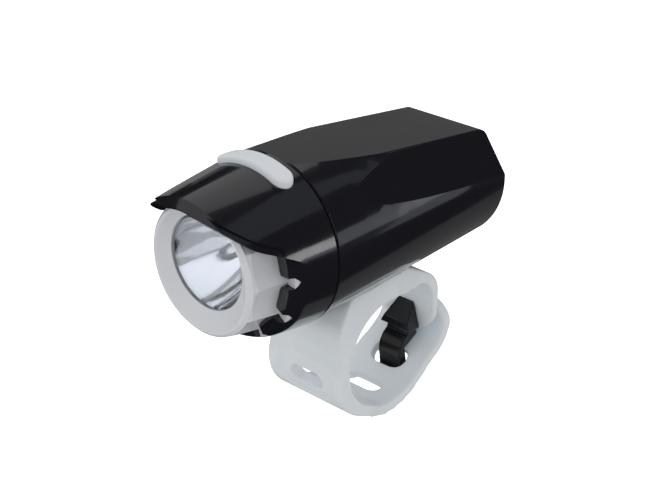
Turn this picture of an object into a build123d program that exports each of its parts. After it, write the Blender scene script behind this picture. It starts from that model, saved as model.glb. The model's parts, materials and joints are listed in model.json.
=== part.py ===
from build123d import *
import math
import os

# Bicycle headlight with a silicone strap mount, in millimetres.
# The origin is the centre of the handlebar that the strap holds, and the bar runs along X.
# The beam leaves towards -Y, and +Z is up.
# Stations are distances behind the flat front of the clear crown, along the light's own axis.

# Overall layout
bar_radius = 12.9
light_axis_height = 33.5
crown_front_y = -45.8
seam_station = 19.6
body_end_station = 77.4
seam_gap = 0.5
running_clearance = 0.1
part_clearance = 0.3
part_gap = 0.05
slide_clearance = 0.2
seat_clearance = 0.1
cut_overrun = 5.0

# Rear housing
body_radius = 19.0
body_end_dip = 1.58
body_wall = 2.55
rear_wall = 2.4
seam_wall = 2.6
bore_depth = 8.0
facet_dip = 0.89
facet_drop = 7.5
shoulder_start_station = 28.5
shoulder_dip = 0.25
shoulder_drop = 3.7
shoulder_angle = 35.7
facet_edge_round = 1.6
rear_edge_round = 0.8
front_edge_round = 0.3
body_end_radius = body_radius - body_end_dip
body_mid_radius = (body_radius + body_end_radius) / 2
bore_radius = body_radius - seam_wall
facet_front_height = body_radius - facet_dip
shoulder_start_reach = body_radius - shoulder_dip

# Head shell: a round nose below and a hood that reaches forward above
hood_tip_reach = 4.3
hood_tip_radius = 14.5
hood_brow_reach = 3.1
hood_brow_radius = 16.35
hood_mid_radius = 17.7
hood_under_share = 0.45
hood_step_depth = 0.45
hood_step_height = 1.9
nose_bulge_share = 0.42
nose_rise_share = 0.6
edge_end_height = 1.6
nose_front_station = 7.8
nose_front_radius = 16.6
nose_end_station = 12.0
nose_end_radius = 18.15
hood_wall = 1.6
nose_bore_radius = 14.3
crown_seat_station = 10.4
hood_edge_shares = (
    (-0.296, 0.840), (-0.230, 0.747), (-0.153, 0.647), (-0.036, 0.537),
    (0.035, 0.479), (0.363, 0.311), (0.649, 0.116),
)

# Clear crown
crown_front_radius = 13.4
crown_edge_round = 0.6
crest_front_radius = 14.1
crest_rear_radius = 15.8
rib_count = 12
rib_phase_share = 0.5
rib_first_visible = 3
rib_last_visible = 9
rib_start_station = 3.5
rib_end_station = 10.3
rib_half_width = 1.15
rib_tip_length = 1.4
flute_radius = 11.0
flute_front_radius = 13.15
flute_rear_radius = 14.2
funnel_depth = 1.8
window_radius = 10.0
window_rise = 1.2
window_thickness = 1.5
skirt_wall = 1.3

# Reflector and its lamp
reflector_wall = 0.7
reflector_flange = 1.0
reflector_base_radius = 2.7
reflector_length = 13.0
led_package_side = 3.5
led_package_height = 0.7
led_dome_radius = 1.4
led_board_radius = 7.5
led_board_thickness = 1.5
led_screw_pitch = 5.6
cup_bulge_share = 0.5
cup_middle_share = 0.76

# Carrier inside the head, with the neck that plugs into the housing
carrier_radius = bore_radius - running_clearance
carrier_wall_station = 18.8
carrier_wall = 1.4
neck_end_station = 27.1
neck_wall = 2.6
ring_groove_station = 23.1
ring_section = 1.6
ring_squeeze_clearance = 0.05
boss_radius = 2.3
boss_pitch_radius = 12.0
boss_angles = (75.0, 180.0, 285.0)
small_screw_radius = 0.9
small_head_radius = 1.6
small_head_height = 1.0
small_screw_length = 5.5
drive_radius = 0.6
drive_depth = 0.5

# Boards
driver_board_radius = 10.0
driver_board_thickness = 1.0
driver_stand_off = 0.5
chip_side = 4.0
chip_height = 0.6
switch_board_length = 8.2
switch_board_width = 11.0
switch_board_thickness = 1.0
switch_board_height = 10.2
board_ledge_thickness = 0.75

# Power button
button_station = 15.5
button_length = 19.2
button_width = 4.9
button_proud = 1.1
button_tab = 1.3
button_tab_thickness = 0.9
button_edge_round = 0.8
plunger_radius = 1.3
stem_radius = 0.9
stem_height = 0.9
switch_body_side = 4.4
switch_body_height = 1.9
stem_well_depth = 0.8

# Battery cradle and its three cells
cell_radius = 5.25
cell_length = 44.5
cell_nub_radius = 2.6
cell_nub_height = 1.0
cell_gap = 0.25
cell_drop = 0.8
cell_edge_round = 0.5
cradle_station = 22.4
cradle_post_radius = 1.7
cradle_post_pitch_radius = 11.8
cradle_post_angles = (30.0, 330.0)
cell_angles = (60.0, 180.0, 300.0)
cradle_plate = 1.4
cradle_plate_radius = 13.2
cradle_rail_radius = 2.1
cradle_rail_pitch_radius = 10.7
rail_angles = (120.0, 240.0)
contact_thickness = 0.3
contact_radius = 4.3
spring_length = 3.1
spring_radius = 3.0
spring_wire = 0.6
spring_turns = 2
pin_radius = 0.7
pin_pitch = 5.0

# Silicone strap
strap_width = 22.0
tongue_width = 15.8
tongue_thickness = 2.1
strap_end_width = 19.0
strap_thickness = 2.6
front_arc_start = 155.0
front_leave_angle = 165.0
front_arc_end = 245.0
front_slack = 3.2
strap_straight = 2.0
belly_radius = 18.0
belly_start_angle = -25.0
fold_angle = -17.5
flank_angle = 32.0
flank_length = 7.8
rear_arc_radius = 8.4
tab_angle = 95.0
tab_length = 3.0
tab_corner_radius = 6.0
tongue_corner_radius = 7.0
slot_length = 9.5
slot_width = 4.2
slot_recess_length = 17.0
slot_recess_width = 11.0
slot_recess_depth = 0.5
front_slot_angle = 191.0
belly_slot_angle = 3.5
hook_hole_run = 1.5
hook_hole_width = 5.6
tongue_outer_radius = 7.4
tongue_centre_y = 14.0
tongue_centre_z = 5.6
tongue_end_z = -5.2
saddle_front_reach = 16.3
saddle_front_height = 9.5
saddle_top_reach = 12.2
saddle_top_height = 20.0
saddle_lean_angle = 250.0
crest_angle = 60.0
saddle_edge_angle = 65.0
saddle_step_y = 13.0
saddle_step_z = 10.3
saddle_turn_z = 5.2
saddle_turn_share = 0.72
taper_start_y = 2.0
taper_end_y = 14.0
end_taper_y = 16.0

# Saddle screws under the housing
saddle_screw_front_y = -8.5
saddle_screw_rear_y = 7.6
saddle_floor = 1.55
saddle_screw_radius = 1.25
saddle_head_radius = 2.5
saddle_head_height = 1.1
washer_radius = 3.2
washer_thickness = 0.5
saddle_boss_radius = 3.2
saddle_boss_rise = 4.75
saddle_screw_length = 6.0
saddle_screw_seat_z = light_axis_height - body_mid_radius - saddle_floor
saddle_boss_reach = body_mid_radius - saddle_boss_rise

# Strap hook
hook_half_width = 3.2
wedge_half_width = 4.2
wedge_top_half_width = 2.2
hook_peg_inner = 15.8
hook_peg_outer = 18.2
hook_peg_end_angle = -1.0
hook_stem_depth = 1.4
hook_stem_height = 2.2
hook_stem_half_width = 2.4
hook_stem_top = 0.8
hook_claw_angle = 13.4
hook_back_angle = 18.7
peg_clearance = 0.45
hook_wedge_points = ((19.25, 2.1), (15.4, -2.2), (15.0, -3.7), (16.4, -4.4))
hook_neck_points = ((16.4, -3.0), (16.3, -5.5))
hook_brow_point = (14.3, -7.2)
hook_back_points = ((16.3, -8.2), (19.9, -6.3), (19.3, -5.3))

# Working planes and axes
side_plane = Plane(origin=(0, crown_front_y, light_axis_height), x_dir=(0, 1, 0), z_dir=(1, 0, 0))
light_axis = Axis((0, crown_front_y, light_axis_height), (0, 1, 0))
lamp_height = light_axis_height + window_rise
lamp_plane = Plane(origin=(0, crown_front_y, lamp_height), x_dir=(0, 1, 0), z_dir=(1, 0, 0))
lamp_axis = Axis((0, crown_front_y, lamp_height), (0, 1, 0))
loop_plane = Plane.YZ
body_length = body_end_station - seam_station


def across(station, spin=0.0):
    """Cross-section plane at a station, facing the front, turned about the light's axis."""
    turn = math.radians(spin)
    return Plane(
        origin=(0, crown_front_y + station, light_axis_height),
        x_dir=(math.cos(turn), 0, -math.sin(turn)),
        z_dir=(0, -1, 0),
    )


def flat_above(height, station):
    """Horizontal plane at a height above the light's axis, centred at a station."""
    return Plane(origin=(0, crown_front_y + station, light_axis_height + height))


def around(angle, radius):
    """Place on a cross-section plane at an angle from the top and a radius."""
    turn = math.radians(angle)
    return (radius * math.sin(turn), radius * math.cos(turn))


def save(builder, name):
    """Label the finished sub-part and write it."""
    builder.part.label = name
    export_step(builder.part, f"parts/{name}.step")


def ring_block(station, length, outer, inner=0.0):
    """A disc or a ring about the light's axis, from a station rearwards."""
    with BuildPart() as block:
        with BuildSketch(across(station + length)):
            Circle(outer)
            if inner > 0:
                Circle(inner, mode=Mode.SUBTRACT)
        extrude(amount=length)
    return block.part


# Rear housing


def body_block(inset, front, rear):
    """The housing's tapered outer form, drawn in by an inset, between two stations."""
    shoulder_run = body_end_station - shoulder_start_station
    tilt = math.radians(shoulder_angle)
    with BuildPart() as block:
        with BuildSketch(side_plane):
            with BuildLine():
                Polyline(
                    (seam_station, body_radius - inset),
                    (body_end_station, body_end_radius - inset),
                    (body_end_station, 0),
                    (seam_station, 0),
                    close=True,
                )
            make_face()
        revolve(axis=light_axis)
        facet = Plane(
            origin=(0, crown_front_y + seam_station, light_axis_height + facet_front_height),
            x_dir=(1, 0, 0),
            z_dir=(0, facet_drop, body_length),
        )
        split(bisect_by=facet.offset(-inset), keep=Keep.BOTTOM)
        for side in (1, -1):
            shoulder = Plane(
                origin=(
                    side * shoulder_start_reach * math.cos(tilt),
                    crown_front_y + shoulder_start_station,
                    light_axis_height + shoulder_start_reach * math.sin(tilt),
                ),
                z_dir=(side * math.cos(tilt), shoulder_drop / shoulder_run, math.sin(tilt)),
            )
            split(bisect_by=shoulder.offset(-inset), keep=Keep.BOTTOM)
        if inset == 0:
            creases = block.edges().filter_by(GeomType.LINE).filter_by(
                lambda edge: edge.length > body_length / 3
            )
            fillet(creases, facet_edge_round)
        split(bisect_by=across(front), keep=Keep.BOTTOM)
        split(bisect_by=across(rear), keep=Keep.TOP)
    return block.part


def make_rear_housing():
    """Closed rear shell that the neck plugs into, with two screw bosses below."""
    outer = body_block(0.0, seam_station + seam_gap / 2, body_end_station)
    cavity_front = seam_station + bore_depth - part_clearance
    cavity = body_block(body_wall, cavity_front, body_end_station - rear_wall)
    bore = ring_block(seam_station - cut_overrun, bore_depth + cut_overrun, bore_radius)
    with BuildPart() as hollow:
        add(cavity)
        with BuildSketch(Plane.XY.offset(light_axis_height - body_radius)):
            with Locations((0, saddle_screw_front_y), (0, saddle_screw_rear_y)):
                Circle(saddle_boss_radius)
        extrude(amount=body_radius - saddle_boss_reach, mode=Mode.SUBTRACT)
    with BuildPart() as housing:
        add(outer)
        fillet(housing.edges().group_by(Axis.Y)[-1], rear_edge_round)
        fillet(housing.edges().group_by(Axis.Y)[0], front_edge_round)
        add(hollow.part, mode=Mode.SUBTRACT)
        add(bore, mode=Mode.SUBTRACT)
        with BuildSketch(Plane.XY.offset(saddle_screw_seat_z)):
            with Locations((0, saddle_screw_front_y), (0, saddle_screw_rear_y)):
                Circle(saddle_screw_radius)
        extrude(amount=saddle_screw_length, mode=Mode.SUBTRACT)
    save(housing, "rear_housing")


# Head shell


def hood_top(inset=0.0):
    """Side line of the hood's outside, from its brow back to the crease."""
    return Spline(
        (-hood_brow_reach, hood_brow_radius - inset),
        (nose_front_station, hood_mid_radius - inset),
        (nose_end_station, nose_end_radius - inset),
    )


def hood_under():
    """Side line of the hood's inside, from its lip back to the nose's front."""
    rear_radius = hood_mid_radius - hood_wall
    lip_radius = hood_tip_radius - hood_wall / 4
    return Spline(
        (-hood_tip_reach + hood_wall / 8, lip_radius),
        (0, lip_radius + (rear_radius - lip_radius) * hood_under_share),
        (nose_front_station, rear_radius),
    )


def hood_step():
    """Shallow step along the hood's edge, from its tip back to the nose's front."""
    high = body_radius + cut_overrun
    ahead = -hood_tip_reach - cut_overrun
    with BuildPart() as step:
        with BuildSketch(side_plane):
            with BuildLine():
                line = hood_top(hood_step_depth)
                Polyline(line @ 1, (nose_end_station, high), (ahead, high))
                Polyline((ahead, high), (ahead, (line @ 0).Y), line @ 0)
            make_face()
        revolve(axis=light_axis)
        with BuildSketch(side_plane):
            with BuildLine():
                edge = Spline(*[
                    (x * seam_station, y * body_radius + hood_step_height)
                    for x, y in hood_edge_shares[:-1]
                ])
                Polyline(edge @ 1, ((edge @ 1).X, 0), ((edge @ 0).X, 0), edge @ 0)
            make_face()
        extrude(amount=body_radius + cut_overrun, both=True, mode=Mode.INTERSECT)
    return step.part


def rib_prisms(grow, reach):
    """Pointed tails of the lower ribs as straight prisms, widened by a small gap."""
    with BuildPart() as prisms:
        for index in range(rib_first_visible, rib_last_visible + 1):
            plane = across(rib_end_station, 360.0 * index / rib_count)
            radial = Plane(origin=plane.origin, x_dir=plane.x_dir, z_dir=plane.y_dir)
            with BuildSketch(radial.offset(nose_bore_radius - skirt_wall / 2)):
                with BuildLine():
                    Polyline(
                        (0, grow),
                        (rib_half_width + grow, -rib_tip_length),
                        (rib_half_width + grow, rib_start_station - rib_end_station),
                        (-rib_half_width - grow, rib_start_station - rib_end_station),
                        (-rib_half_width - grow, -rib_tip_length),
                        close=True,
                    )
                make_face()
            extrude(amount=reach)
    return prisms.part


def fin_block():
    """The clear ribs' pointed tails, which follow the nose's round shoulder."""
    prisms = rib_prisms(0.0, nose_end_radius - nose_bore_radius)
    with BuildPart() as fins:
        add(prisms)
        with BuildSketch(side_plane):
            with BuildLine():
                nose = nose_curve()
                Polyline(nose @ 1, (nose_end_station, 0), (0, 0), (0, crest_front_radius))
                Line((0, crest_front_radius), nose @ 0)
            make_face()
        revolve(axis=light_axis, mode=Mode.INTERSECT)
    return fins.part


def nose_curve():
    """Rounded shoulder of the black nose, from its front rim back to the crease."""
    return ThreePointArc(
        (nose_front_station, nose_front_radius),
        (
            nose_front_station + (nose_end_station - nose_front_station) * nose_bulge_share,
            nose_front_radius + (nose_end_radius - nose_front_radius) * nose_rise_share,
        ),
        (nose_end_station, nose_end_radius),
    )


def head_ring():
    """The head's full ring: hood all the way round, with the nose and the crown's seat inside."""
    rear = seam_station - seam_gap / 2
    with BuildPart() as ring:
        with BuildSketch(side_plane):
            with BuildLine():
                top = hood_top()
                under = hood_under()
                Polyline(top @ 0, (-hood_tip_reach, hood_tip_radius), under @ 0)
                Polyline(
                    top @ 1,
                    (rear, body_radius),
                    (rear, bore_radius),
                    (crown_seat_station, bore_radius),
                    (crown_seat_station, nose_bore_radius),
                    (nose_front_station, nose_bore_radius),
                    under @ 1,
                )
            make_face()
        revolve(axis=light_axis)
    return ring.part


def below_hood():
    """The room in front of the nose that the hood leaves open, below its slanting edge."""
    with BuildPart() as room:
        with BuildSketch(side_plane):
            with BuildLine():
                nose = nose_curve()
                Polyline(
                    nose @ 1,
                    (nose_end_station, body_radius + cut_overrun),
                    (-hood_tip_reach - cut_overrun, body_radius + cut_overrun),
                    (-hood_tip_reach - cut_overrun, 0),
                    (nose_front_station, 0),
                    nose @ 0,
                )
            make_face()
        revolve(axis=light_axis)
        with BuildSketch(side_plane):
            with BuildLine():
                edge = Spline(*[(x * seam_station, y * body_radius) for x, y in hood_edge_shares])
                Polyline(
                    edge @ 1,
                    (seam_station + cut_overrun, edge_end_height),
                    (seam_station + cut_overrun, -body_radius - 2 * cut_overrun),
                    (-hood_tip_reach - 2 * cut_overrun, -body_radius - 2 * cut_overrun),
                    (-hood_tip_reach - 2 * cut_overrun, (edge @ 0).Y),
                    edge @ 0,
                )
            make_face()
        extrude(amount=body_radius + 2 * cut_overrun, both=True, mode=Mode.INTERSECT)
    return room.part


def make_head_shell():
    """Black head: round nose, hood, button slot and the bosses that hold the carrier."""
    ring = head_ring()
    room = below_hood()
    step = hood_step()
    notches = rib_prisms(part_gap, body_radius)
    with BuildPart() as shell:
        add(ring)
        add(room, mode=Mode.SUBTRACT)
        add(step, mode=Mode.SUBTRACT)
        add(notches, mode=Mode.SUBTRACT)
        boss_length = carrier_wall_station - crown_seat_station - part_clearance
        with BuildSketch(across(carrier_wall_station)):
            for angle in boss_angles:
                with Locations(around(angle, boss_pitch_radius)):
                    Circle(boss_radius)
            for angle in boss_angles:
                with Locations(Location(around(angle, bore_radius - boss_radius), -angle)):
                    Rectangle(boss_radius, 2 * boss_radius + part_clearance)
        extrude(amount=boss_length)
        with BuildSketch(across(carrier_wall_station)):
            for angle in boss_angles:
                with Locations(around(angle, boss_pitch_radius)):
                    Circle(small_screw_radius)
        extrude(amount=small_screw_length, mode=Mode.SUBTRACT)
        with BuildSketch(flat_above(0, button_station)):
            SlotOverall(button_length + 2 * slide_clearance, button_width + 2 * slide_clearance)
        extrude(amount=body_radius + cut_overrun, mode=Mode.SUBTRACT)
    save(shell, "head_shell")


# Clear crown


def make_crown_lens():
    """Clear front: sunk window, frosted rim, fluted ribs and the skirt inside the nose."""
    window_rear = funnel_depth + window_thickness
    skirt_radius = nose_bore_radius - part_gap
    fins = fin_block()
    with BuildPart() as crown:
        with BuildSketch(side_plane):
            with BuildLine():
                Polyline(
                    (0, 0),
                    (0, crown_front_radius),
                    (crown_edge_round, crest_front_radius),
                    (nose_front_station - part_gap, crest_rear_radius),
                    (nose_front_station - part_gap, skirt_radius),
                    (crown_seat_station - part_gap, skirt_radius),
                    (crown_seat_station - part_gap, skirt_radius - skirt_wall),
                    (window_rear, skirt_radius - skirt_wall),
                    (window_rear, 0),
                    close=True,
                )
            make_face()
        revolve(axis=light_axis)
        rim_radius = crown_front_radius - crown_edge_round
        share = crown_edge_round / funnel_depth
        with BuildSketch(across(-crown_edge_round)):
            with Locations((0, -window_rise * share)):
                Circle(rim_radius + (rim_radius - window_radius) * share)
        with BuildSketch(across(funnel_depth)):
            with Locations((0, window_rise)):
                Circle(window_radius)
        loft(mode=Mode.SUBTRACT)
        add(fins)
        lean = math.atan2(flute_rear_radius - flute_front_radius, nose_front_station)
        for index in range(rib_count):
            plane = across(0, 360.0 * (index + rib_phase_share) / rib_count)
            outward = plane.y_dir
            reach = flute_front_radius + flute_radius
            start = plane.origin + outward * reach
            along = Vector(0, math.cos(lean), 0) + outward * math.sin(lean)
            with BuildSketch(Plane(origin=start, z_dir=along).offset(-crown_edge_round)):
                Circle(flute_radius)
            extrude(amount=nose_front_station + crown_edge_round, mode=Mode.SUBTRACT)
    save(crown, "crown_lens")


# Reflector and lamp


def make_reflector():
    """Bright cup behind the window, open at its base for the lamp."""
    front = funnel_depth + window_thickness + part_gap
    rear = front + reflector_length
    flange_radius = nose_bore_radius - skirt_wall - 2 * part_gap
    with BuildPart() as reflector:
        with BuildSketch(across(front + reflector_flange)):
            Circle(flange_radius)
            with Locations((0, window_rise)):
                Circle(window_radius + reflector_wall / 2, mode=Mode.SUBTRACT)
        extrude(amount=reflector_flange)
        with BuildSketch(lamp_plane):
            with BuildLine():
                middle_station = front + reflector_length * cup_bulge_share
                middle_radius = window_radius * cup_middle_share
                inner = ThreePointArc(
                    (front, window_radius),
                    (middle_station, middle_radius),
                    (rear, reflector_base_radius),
                )
                Polyline(
                    inner @ 1,
                    (rear, reflector_base_radius + reflector_wall),
                    (middle_station, middle_radius + reflector_wall),
                    (front, window_radius + reflector_wall),
                    inner @ 0,
                )
            make_face()
        revolve(axis=lamp_axis)
    save(reflector, "reflector")


def board_screw_places():
    """Places of the lamp board's two screws on a cross-section plane."""
    return ((0, window_rise + led_screw_pitch), (0, window_rise - led_screw_pitch))


def make_lamp():
    """Lamp package with its dome, on a round aluminium board."""
    board_station = carrier_wall_station - led_board_thickness
    package_station = board_station - led_package_height
    with BuildPart() as board:
        with BuildSketch(across(carrier_wall_station)):
            with Locations((0, window_rise)):
                Circle(led_board_radius)
            with Locations(*board_screw_places()):
                Circle(small_screw_radius + part_gap, mode=Mode.SUBTRACT)
        extrude(amount=led_board_thickness)
    save(board, "led_board")
    with BuildPart() as package:
        with BuildSketch(across(board_station)):
            with Locations((0, window_rise)):
                Rectangle(led_package_side, led_package_side)
        extrude(amount=led_package_height)
        chamfer(package.edges().group_by(Axis.Y)[0], led_package_height / 4)
    save(package, "led_package")
    with BuildPart() as dome:
        with BuildSketch(lamp_plane):
            with BuildLine():
                cap = ThreePointArc(
                    (package_station, led_dome_radius),
                    (package_station - led_dome_radius * math.sin(math.pi / 4),
                     led_dome_radius * math.cos(math.pi / 4)),
                    (package_station - led_dome_radius, 0),
                )
                Polyline(cap @ 1, (package_station, 0), cap @ 0)
            make_face()
        revolve(axis=lamp_axis)
    save(dome, "led_dome")


# Carrier, seal and screws


def make_lamp_carrier():
    """Inner wall of the head with the neck that plugs into the housing."""
    wall_rear = carrier_wall_station + carrier_wall
    neck_bore = carrier_radius - neck_wall
    groove_depth = ring_section + ring_squeeze_clearance - running_clearance
    with BuildPart() as carrier:
        with BuildSketch(side_plane):
            with BuildLine():
                Polyline(
                    (carrier_wall_station, 0),
                    (carrier_wall_station, carrier_radius),
                    (ring_groove_station, carrier_radius),
                    (ring_groove_station, carrier_radius - groove_depth),
                    (ring_groove_station + ring_section, carrier_radius - groove_depth),
                    (ring_groove_station + ring_section, carrier_radius),
                    (neck_end_station, carrier_radius),
                    (neck_end_station, neck_bore),
                    (wall_rear, neck_bore),
                    (wall_rear, 0),
                    close=True,
                )
            make_face()
        revolve(axis=light_axis)
        with BuildSketch(across(wall_rear)):
            for angle in boss_angles:
                with Locations(around(angle, boss_pitch_radius)):
                    Circle(small_screw_radius + part_gap)
        extrude(amount=carrier_wall, mode=Mode.SUBTRACT)
        with BuildSketch(across(wall_rear)):
            with Locations(*board_screw_places()):
                Circle(small_screw_radius)
        extrude(amount=carrier_wall, mode=Mode.SUBTRACT)
        with BuildSketch(across(cradle_station)):
            for angle in cradle_post_angles:
                with Locations(around(angle, cradle_post_pitch_radius)):
                    Circle(cradle_post_radius)
        extrude(amount=cradle_station - wall_rear)
        with BuildSketch(across(cradle_station)):
            for angle in cradle_post_angles:
                with Locations(around(angle, cradle_post_pitch_radius)):
                    Circle(small_screw_radius)
        extrude(amount=cradle_station - wall_rear, mode=Mode.SUBTRACT)
        ledge_top = switch_board_height - part_gap
        ledge_station = carrier_wall_station - switch_board_length / 2
        with BuildSketch(flat_above(ledge_top, ledge_station)):
            Rectangle(switch_board_width, switch_board_length)
        extrude(amount=-board_ledge_thickness)
    save(carrier, "lamp_carrier")


def make_o_ring_seal():
    """Rubber ring in the neck's groove."""
    ring_radius = bore_radius - ring_squeeze_clearance - ring_section / 2
    with BuildPart() as seal:
        with BuildSketch(side_plane):
            with Locations((ring_groove_station + ring_section / 2, ring_radius)):
                Circle(ring_section / 2)
        revolve(axis=light_axis)
    save(seal, "o_ring_seal")


def screw_group(name, head_station, places, shank_length):
    """Small pan-head screws driven forwards, with their heads' rear faces cross-drilled."""
    with BuildPart() as screws:
        with BuildSketch(across(head_station + small_head_height)):
            with Locations(*places):
                Circle(small_head_radius)
        extrude(amount=small_head_height)
        fillet(screws.edges().group_by(Axis.Y)[-1], small_head_height / 3)
        with BuildSketch(across(head_station)):
            with Locations(*places):
                Circle(small_screw_radius)
        extrude(amount=shank_length)
        with BuildSketch(across(head_station + small_head_height)):
            with Locations(*places):
                RegularPolygon(drive_radius, 6)
        extrude(amount=drive_depth, mode=Mode.SUBTRACT)
    save(screws, name)


def make_small_screws():
    """Screws that hold the carrier to the head, the lamp board and the cradle."""
    wall_rear = carrier_wall_station + carrier_wall
    boss_places = [around(angle, boss_pitch_radius) for angle in boss_angles]
    screw_group("carrier_screws", wall_rear, boss_places,
                carrier_wall + small_screw_length - part_clearance)
    post_places = [around(angle, cradle_post_pitch_radius) for angle in cradle_post_angles]
    post_length = cradle_station - wall_rear
    screw_group("cradle_screws", cradle_station + cradle_plate, post_places,
                cradle_plate + post_length - part_gap)
    with BuildPart() as screws:
        front = carrier_wall_station - led_board_thickness
        with BuildSketch(across(front)):
            with Locations(*board_screw_places()):
                Circle(small_head_radius)
        extrude(amount=small_head_height)
        fillet(screws.edges().group_by(Axis.Y)[0], small_head_height / 3)
        with BuildSketch(across(front)):
            with Locations(*board_screw_places()):
                Circle(small_screw_radius)
        extrude(amount=-(led_board_thickness + carrier_wall - part_gap))
        with BuildSketch(across(front - small_head_height)):
            with Locations(*board_screw_places()):
                RegularPolygon(drive_radius, 6)
        extrude(amount=-drive_depth, mode=Mode.SUBTRACT)
    save(screws, "board_screws")


# Boards


def make_boards():
    """Driver board behind the carrier wall, its chip, and the shelf board for the switch."""
    front = carrier_wall_station + carrier_wall + driver_stand_off
    rear = front + driver_board_thickness
    with BuildPart() as board:
        with BuildSketch(across(rear)):
            Circle(driver_board_radius)
        extrude(amount=driver_board_thickness)
        with BuildSketch(across(front)):
            with Locations((pin_pitch, 0), (-pin_pitch, 0)):
                Circle(small_head_radius)
        extrude(amount=driver_stand_off)
    save(board, "driver_board")
    with BuildPart() as chip:
        with BuildSketch(across(rear + chip_height)):
            Rectangle(chip_side, chip_side)
        extrude(amount=chip_height)
    save(chip, "driver_chip")
    shelf_station = carrier_wall_station - switch_board_length / 2
    with BuildPart() as shelf:
        with BuildSketch(flat_above(switch_board_height, shelf_station)):
            Rectangle(switch_board_width, switch_board_length)
        extrude(amount=switch_board_thickness)
    save(shelf, "switch_board")


def make_switch():
    """Push switch on the shelf board, and its moving stem."""
    base = switch_board_height + switch_board_thickness
    top = base + switch_body_height
    with BuildPart() as body:
        with BuildSketch(flat_above(base, button_station)):
            Rectangle(switch_body_side, switch_body_side)
        extrude(amount=switch_body_height)
        with BuildSketch(flat_above(top, button_station)):
            Circle(stem_radius + running_clearance)
        extrude(amount=-stem_well_depth - part_clearance, mode=Mode.SUBTRACT)
    save(body, "switch_body")
    with BuildPart() as stem:
        with BuildSketch(flat_above(top + stem_height, button_station)):
            Circle(stem_radius)
        extrude(amount=-stem_height - part_clearance)
    save(stem, "switch_stem")
    under = bore_radius - button_tab_thickness
    limit = ring_block(0, seam_station, under)
    with BuildPart() as plunger:
        with BuildSketch(flat_above(top + stem_height, button_station)):
            Circle(plunger_radius)
        extrude(amount=bore_radius)
        add(limit, mode=Mode.INTERSECT)
    save(plunger, "button_plunger")


def make_power_button():
    """Pill-shaped silicone button that follows the hood's curve, with a tab at each end."""
    under = bore_radius - button_tab_thickness
    outer = (nose_end_radius + body_radius) / 2 + button_proud
    reach = outer + cut_overrun
    shell = ring_block(0, seam_station + cut_overrun, outer, under)
    hidden = ring_block(0, seam_station + cut_overrun, bore_radius - part_clearance, under)
    with BuildPart() as tabs:
        with BuildSketch(flat_above(0, button_station)):
            SlotOverall(button_length + 2 * button_tab, button_width)
        extrude(amount=reach)
        add(hidden, mode=Mode.INTERSECT)
    with BuildPart() as button:
        with BuildSketch(flat_above(0, button_station)):
            SlotOverall(button_length, button_width)
        extrude(amount=reach)
        add(shell, mode=Mode.INTERSECT)
        fillet(button.faces().sort_by(Axis.Z)[-1].edges(), button_edge_round)
        add(tabs.part)
    save(button, "power_button")


# Battery cradle


def cell_places():
    """Centres of the three cells on a cross-section plane."""
    pitch = (2 * cell_radius + cell_gap) / math.sqrt(3)
    places = [around(angle, pitch) for angle in cell_angles]
    return [(x, y - cell_drop) for x, y in places]


def make_cradle():
    """Sled with two end plates and two rails, screwed to the carrier's posts."""
    run = 2 * contact_thickness + spring_length + cell_length
    rear_plate_station = cradle_station + cradle_plate + run
    places = cell_places()
    room = body_block(body_wall + part_clearance, seam_station, body_end_station - rear_wall)
    with BuildPart() as cradle:
        with BuildSketch(across(rear_plate_station + cradle_plate)):
            Circle(cradle_plate_radius)
        extrude(amount=cradle_plate)
        add(room, mode=Mode.INTERSECT)
        with BuildSketch(across(cradle_station + cradle_plate)):
            Circle(cradle_plate_radius)
        extrude(amount=cradle_plate)
        with BuildSketch(across(rear_plate_station)):
            for angle in rail_angles:
                with Locations(around(angle, cradle_rail_pitch_radius)):
                    Circle(cradle_rail_radius)
        extrude(amount=run)
        with BuildSketch(across(cradle_station + cradle_plate)):
            with Locations(places[1], places[2]):
                Circle(pin_radius + part_gap)
            for angle in cradle_post_angles:
                with Locations(around(angle, cradle_post_pitch_radius)):
                    Circle(small_screw_radius + part_gap)
        extrude(amount=cradle_plate, mode=Mode.SUBTRACT)
    save(cradle, "battery_cradle")
    with BuildPart() as pins:
        front = carrier_wall_station + carrier_wall + driver_stand_off + driver_board_thickness
        with BuildSketch(across(cradle_station + cradle_plate)):
            with Locations(places[1], places[2]):
                Circle(pin_radius)
        extrude(amount=cradle_station + cradle_plate - front)
    save(pins, "output_pins")
    for name, station in (
        ("front_contacts", cradle_station + cradle_plate + contact_thickness),
        ("rear_contacts", rear_plate_station),
    ):
        with BuildPart() as contacts:
            with BuildSketch(across(station)):
                with Locations(*places):
                    Circle(contact_radius)
            extrude(amount=contact_thickness)
        save(contacts, name)
    front_face = cradle_station + cradle_plate + contact_thickness
    rear_face = rear_plate_station - contact_thickness
    flips = (1, -1, 1)
    for number, (place, flip) in enumerate(zip(places, flips), start=1):
        make_cell(f"cell_{number}", place, flip, front_face, rear_face)
    make_springs(places, flips, front_face, rear_face)


def make_cell(name, place, flip, front_face, rear_face):
    """One cell: flip 1 has its nub at the front contact, flip -1 at the rear one."""
    can_length = cell_length - cell_nub_height
    if flip > 0:
        can_rear = front_face + cell_length
        nub_rear = front_face + cell_nub_height
    else:
        can_rear = rear_face - cell_nub_height
        nub_rear = rear_face
    with BuildPart() as cell:
        with BuildSketch(across(can_rear)):
            with Locations(place):
                Circle(cell_radius)
        extrude(amount=can_length)
        fillet(cell.edges(), cell_edge_round)
        with BuildSketch(across(nub_rear)):
            with Locations(place):
                Circle(cell_nub_radius)
        extrude(amount=cell_nub_height)
    save(cell, name)


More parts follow.
